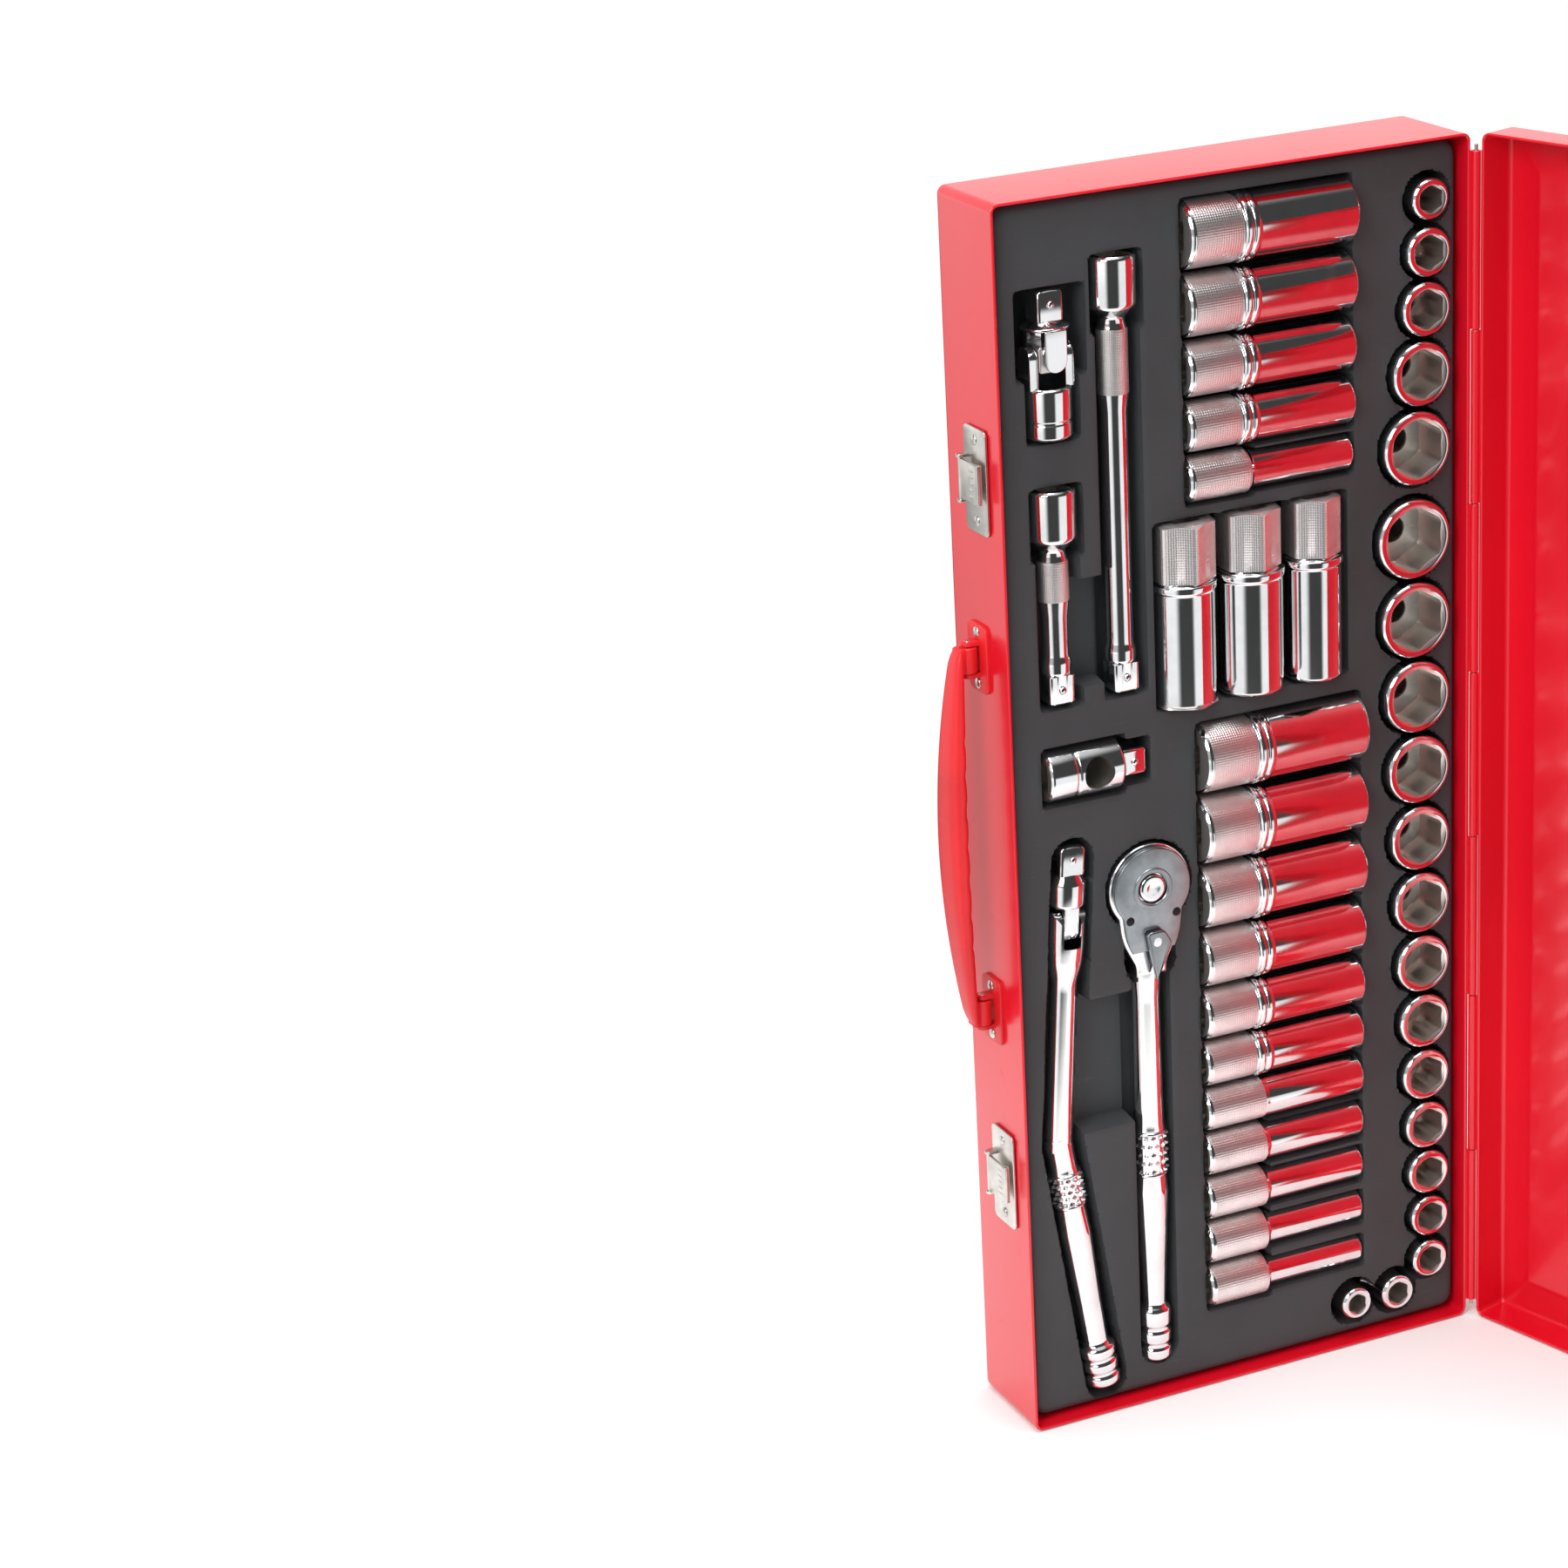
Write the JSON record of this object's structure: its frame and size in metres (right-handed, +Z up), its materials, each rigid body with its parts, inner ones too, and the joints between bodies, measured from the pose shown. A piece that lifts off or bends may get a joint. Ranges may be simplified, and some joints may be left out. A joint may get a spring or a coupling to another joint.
{
  "type": "socket wrench set in case",
  "caption": "Hinged sheet-steel case with a moulded liner that holds a ratchet, a flex-head handle, extensions, a universal joint and rows of drive sockets.",
  "frame": {"origin": "middle of the tray's lower end face, halfway across its width and its depth", "axes": "+Z up along the case's long side, +Y from the open face into the tray, +X towards the hinge side"},
  "size_m": [0.2606, 0.2148, 0.4406],
  "materials": {
    "red_paint": "smooth gloss red enamel",
    "handle_red": "smooth moulded red plastic",
    "liner_plastic": "matt dark grey moulded plastic",
    "chrome": "polished chrome plate",
    "satin_chrome": "satin chrome with a fine knurl on the drive end",
    "zinc": "pale zinc plate",
    "cover_grey": "grey satin plate"
  },
  "bodies": {
    "tray": {"tray": "red_paint", "liner": "liner_plastic", "hinge_pin": "zinc", "latch_plate_upper": "zinc", "latch_plate_lower": "zinc"},
    "lid": {"lid": "red_paint"},
    "carry_handle": {"carry_handle": "handle_red"},
    "latch_lever_upper": {"latch_lever_upper": "zinc"},
    "latch_lever_lower": {"latch_lever_lower": "zinc"},
    "ratchet_handle": {"ratchet_handle": "chrome", "ratchet_cover": "cover_grey"},
    "ratchet_anvil": {"ratchet_anvil": "chrome"},
    "ratchet_lever": {"ratchet_lever": "cover_grey"},
    "flex_handle": {"flex_handle": "chrome"},
    "flex_head": {"flex_head": "chrome"},
    "joint_socket_yoke": {"joint_socket_yoke": "chrome"},
    "joint_cross": {"joint_cross": "satin_chrome"},
    "joint_drive_yoke": {"joint_drive_yoke": "chrome"},
    "extension_long": {"extension_long": "chrome"},
    "extension_short": {"extension_short": "chrome"},
    "bar_adapter": {"bar_adapter": "chrome"},
    "shallow_socket_01": {"shallow_socket_01": "chrome"},
    "shallow_socket_02": {"shallow_socket_02": "chrome"},
    "shallow_socket_03": {"shallow_socket_03": "chrome"},
    "shallow_socket_04": {"shallow_socket_04": "chrome"},
    "shallow_socket_05": {"shallow_socket_05": "chrome"},
    "shallow_socket_06": {"shallow_socket_06": "chrome"},
    "shallow_socket_07": {"shallow_socket_07": "chrome"},
    "shallow_socket_08": {"shallow_socket_08": "chrome"},
    "shallow_socket_09": {"shallow_socket_09": "chrome"},
    "shallow_socket_10": {"shallow_socket_10": "chrome"},
    "shallow_socket_11": {"shallow_socket_11": "chrome"},
    "shallow_socket_12": {"shallow_socket_12": "chrome"},
    "shallow_socket_13": {"shallow_socket_13": "chrome"},
    "shallow_socket_14": {"shallow_socket_14": "chrome"},
    "shallow_socket_15": {"shallow_socket_15": "chrome"},
    "shallow_socket_16": {"shallow_socket_16": "chrome"},
    "shallow_socket_17": {"shallow_socket_17": "chrome"},
    "shallow_socket_18": {"shallow_socket_18": "chrome"},
    "shallow_socket_19": {"shallow_socket_19": "chrome"},
    "shallow_socket_20": {"shallow_socket_20": "chrome"},
    "deep_socket_01": {"deep_socket_01": "satin_chrome"},
    "deep_socket_02": {"deep_socket_02": "satin_chrome"},
    "deep_socket_03": {"deep_socket_03": "satin_chrome"},
    "deep_socket_04": {"deep_socket_04": "satin_chrome"},
    "deep_socket_05": {"deep_socket_05": "satin_chrome"},
    "deep_socket_06": {"deep_socket_06": "satin_chrome"},
    "deep_socket_07": {"deep_socket_07": "satin_chrome"},
    "deep_socket_08": {"deep_socket_08": "satin_chrome"},
    "deep_socket_09": {"deep_socket_09": "satin_chrome"},
    "deep_socket_10": {"deep_socket_10": "satin_chrome"},
    "deep_socket_11": {"deep_socket_11": "satin_chrome"},
    "deep_socket_12": {"deep_socket_12": "satin_chrome"},
    "deep_socket_13": {"deep_socket_13": "satin_chrome"},
    "deep_socket_14": {"deep_socket_14": "satin_chrome"},
    "deep_socket_15": {"deep_socket_15": "satin_chrome"},
    "deep_socket_16": {"deep_socket_16": "satin_chrome"},
    "spark_plug_socket_01": {"spark_plug_socket_01": "chrome"},
    "spark_plug_socket_02": {"spark_plug_socket_02": "chrome"},
    "spark_plug_socket_03": {"spark_plug_socket_03": "chrome"}
  },
  "joints": [
    {"name": "lid_hinge", "type": "hinge", "parent": "tray", "child": "lid", "pos_m": [0.09123, -0.0203, 0.22], "axis": [0, 0, 1], "range_deg": [-106, 74]},
    {"name": "handle_swing", "type": "hinge", "parent": "tray", "child": "carry_handle", "pos_m": [-0.09402, 0, 0.22031], "axis": [0, 0, 1], "range_deg": [-60, 60]},
    {"name": "latch_upper_turn", "type": "hinge", "parent": "tray", "child": "latch_lever_upper", "pos_m": [-0.09292, 0.002, 0.34661], "axis": [0, 0, -1], "range_deg": [0, 140]},
    {"name": "latch_lower_turn", "type": "hinge", "parent": "tray", "child": "latch_lever_lower", "pos_m": [-0.09292, 0.002, 0.094], "axis": [0, 0, -1], "range_deg": [0, 140]},
    {"name": "ratchet_drive_spin", "type": "hinge", "parent": "ratchet_handle", "child": "ratchet_anvil", "pos_m": [-0.03612, -0.0105, 0.1957], "axis": [0, -1, 0], "continuous": true},
    {"name": "ratchet_lever_turn", "type": "hinge", "parent": "ratchet_handle", "child": "ratchet_lever", "pos_m": [-0.03612, -0.0105, 0.1767], "axis": [0, -1, 0], "range_deg": [-18, 18]},
    {"name": "flex_head_swivel", "type": "hinge", "parent": "flex_handle", "child": "flex_head", "pos_m": [-0.06673, -0.0105, 0.18605], "axis": [0.9977, 0, -0.068], "range_deg": [0, 90]},
    {"name": "joint_first_pivot", "type": "hinge", "parent": "joint_socket_yoke", "child": "joint_cross", "pos_m": [-0.06673, -0.0105, 0.38618], "axis": [1, 0, 0], "range_deg": [0, 35]},
    {"name": "joint_second_pivot", "type": "hinge", "parent": "joint_cross", "child": "joint_drive_yoke", "pos_m": [-0.06673, -0.0105, 0.38618], "axis": [0, 1, 0], "range_deg": [-15, 15]},
    {"name": "ratchet_handle_lift", "type": "slide", "parent": "tray", "child": "ratchet_handle", "axis": [0, -1, 0], "range_m": [0, 0.045]},
    {"name": "flex_handle_lift", "type": "slide", "parent": "tray", "child": "flex_handle", "axis": [0, -1, 0], "range_m": [0, 0.045]},
    {"name": "joint_socket_yoke_lift", "type": "slide", "parent": "tray", "child": "joint_socket_yoke", "axis": [0, -1, 0], "range_m": [0, 0.045]},
    {"name": "extension_long_lift", "type": "slide", "parent": "tray", "child": "extension_long", "axis": [0, -1, 0], "range_m": [0, 0.045]},
    {"name": "extension_short_lift", "type": "slide", "parent": "tray", "child": "extension_short", "axis": [0, -1, 0], "range_m": [0, 0.045]},
    {"name": "bar_adapter_lift", "type": "slide", "parent": "tray", "child": "bar_adapter", "axis": [0, -1, 0], "range_m": [0, 0.045]},
    {"name": "deep_socket_01_lift", "type": "slide", "parent": "tray", "child": "deep_socket_01", "axis": [0, -1, 0], "range_m": [0, 0.045]},
    {"name": "deep_socket_02_lift", "type": "slide", "parent": "tray", "child": "deep_socket_02", "axis": [0, -1, 0], "range_m": [0, 0.045]},
    {"name": "deep_socket_03_lift", "type": "slide", "parent": "tray", "child": "deep_socket_03", "axis": [0, -1, 0], "range_m": [0, 0.045]},
    {"name": "deep_socket_04_lift", "type": "slide", "parent": "tray", "child": "deep_socket_04", "axis": [0, -1, 0], "range_m": [0, 0.045]},
    {"name": "deep_socket_05_lift", "type": "slide", "parent": "tray", "child": "deep_socket_05", "axis": [0, -1, 0], "range_m": [0, 0.045]},
    {"name": "deep_socket_06_lift", "type": "slide", "parent": "tray", "child": "deep_socket_06", "axis": [0, -1, 0], "range_m": [0, 0.045]},
    {"name": "deep_socket_07_lift", "type": "slide", "parent": "tray", "child": "deep_socket_07", "axis": [0, -1, 0], "range_m": [0, 0.045]},
    {"name": "deep_socket_08_lift", "type": "slide", "parent": "tray", "child": "deep_socket_08", "axis": [0, -1, 0], "range_m": [0, 0.045]},
    {"name": "deep_socket_09_lift", "type": "slide", "parent": "tray", "child": "deep_socket_09", "axis": [0, -1, 0], "range_m": [0, 0.045]},
    {"name": "deep_socket_10_lift", "type": "slide", "parent": "tray", "child": "deep_socket_10", "axis": [0, -1, 0], "range_m": [0, 0.045]},
    {"name": "deep_socket_11_lift", "type": "slide", "parent": "tray", "child": "deep_socket_11", "axis": [0, -1, 0], "range_m": [0, 0.045]},
    {"name": "deep_socket_12_lift", "type": "slide", "parent": "tray", "child": "deep_socket_12", "axis": [0, -1, 0], "range_m": [0, 0.045]},
    {"name": "deep_socket_13_lift", "type": "slide", "parent": "tray", "child": "deep_socket_13", "axis": [0, -1, 0], "range_m": [0, 0.045]},
    {"name": "deep_socket_14_lift", "type": "slide", "parent": "tray", "child": "deep_socket_14", "axis": [0, -1, 0], "range_m": [0, 0.045]},
    {"name": "deep_socket_15_lift", "type": "slide", "parent": "tray", "child": "deep_socket_15", "axis": [0, -1, 0], "range_m": [0, 0.045]},
    {"name": "deep_socket_16_lift", "type": "slide", "parent": "tray", "child": "deep_socket_16", "axis": [0, -1, 0], "range_m": [0, 0.045]},
    {"name": "spark_plug_socket_01_lift", "type": "slide", "parent": "tray", "child": "spark_plug_socket_01", "axis": [0, -1, 0], "range_m": [0, 0.045]},
    {"name": "spark_plug_socket_02_lift", "type": "slide", "parent": "tray", "child": "spark_plug_socket_02", "axis": [0, -1, 0], "range_m": [0, 0.045]},
    {"name": "spark_plug_socket_03_lift", "type": "slide", "parent": "tray", "child": "spark_plug_socket_03", "axis": [0, -1, 0], "range_m": [0, 0.045]},
    {"name": "shallow_socket_01_lift", "type": "slide", "parent": "tray", "child": "shallow_socket_01", "axis": [0, -1, 0], "range_m": [0, 0.045]},
    {"name": "shallow_socket_02_lift", "type": "slide", "parent": "tray", "child": "shallow_socket_02", "axis": [0, -1, 0], "range_m": [0, 0.045]},
    {"name": "shallow_socket_03_lift", "type": "slide", "parent": "tray", "child": "shallow_socket_03", "axis": [0, -1, 0], "range_m": [0, 0.045]},
    {"name": "shallow_socket_04_lift", "type": "slide", "parent": "tray", "child": "shallow_socket_04", "axis": [0, -1, 0], "range_m": [0, 0.045]},
    {"name": "shallow_socket_05_lift", "type": "slide", "parent": "tray", "child": "shallow_socket_05", "axis": [0, -1, 0], "range_m": [0, 0.045]},
    {"name": "shallow_socket_06_lift", "type": "slide", "parent": "tray", "child": "shallow_socket_06", "axis": [0, -1, 0], "range_m": [0, 0.045]},
    {"name": "shallow_socket_07_lift", "type": "slide", "parent": "tray", "child": "shallow_socket_07", "axis": [0, -1, 0], "range_m": [0, 0.045]},
    {"name": "shallow_socket_08_lift", "type": "slide", "parent": "tray", "child": "shallow_socket_08", "axis": [0, -1, 0], "range_m": [0, 0.045]},
    {"name": "shallow_socket_09_lift", "type": "slide", "parent": "tray", "child": "shallow_socket_09", "axis": [0, -1, 0], "range_m": [0, 0.045]},
    {"name": "shallow_socket_10_lift", "type": "slide", "parent": "tray", "child": "shallow_socket_10", "axis": [0, -1, 0], "range_m": [0, 0.045]},
    {"name": "shallow_socket_11_lift", "type": "slide", "parent": "tray", "child": "shallow_socket_11", "axis": [0, -1, 0], "range_m": [0, 0.045]},
    {"name": "shallow_socket_12_lift", "type": "slide", "parent": "tray", "child": "shallow_socket_12", "axis": [0, -1, 0], "range_m": [0, 0.045]},
    {"name": "shallow_socket_13_lift", "type": "slide", "parent": "tray", "child": "shallow_socket_13", "axis": [0, -1, 0], "range_m": [0, 0.045]},
    {"name": "shallow_socket_14_lift", "type": "slide", "parent": "tray", "child": "shallow_socket_14", "axis": [0, -1, 0], "range_m": [0, 0.045]},
    {"name": "shallow_socket_15_lift", "type": "slide", "parent": "tray", "child": "shallow_socket_15", "axis": [0, -1, 0], "range_m": [0, 0.045]},
    {"name": "shallow_socket_16_lift", "type": "slide", "parent": "tray", "child": "shallow_socket_16", "axis": [0, -1, 0], "range_m": [0, 0.045]},
    {"name": "shallow_socket_17_lift", "type": "slide", "parent": "tray", "child": "shallow_socket_17", "axis": [0, -1, 0], "range_m": [0, 0.045]},
    {"name": "shallow_socket_18_lift", "type": "slide", "parent": "tray", "child": "shallow_socket_18", "axis": [0, -1, 0], "range_m": [0, 0.045]},
    {"name": "shallow_socket_19_lift", "type": "slide", "parent": "tray", "child": "shallow_socket_19", "axis": [0, -1, 0], "range_m": [0, 0.045]},
    {"name": "shallow_socket_20_lift", "type": "slide", "parent": "tray", "child": "shallow_socket_20", "axis": [0, -1, 0], "range_m": [0, 0.045]}
  ]
}
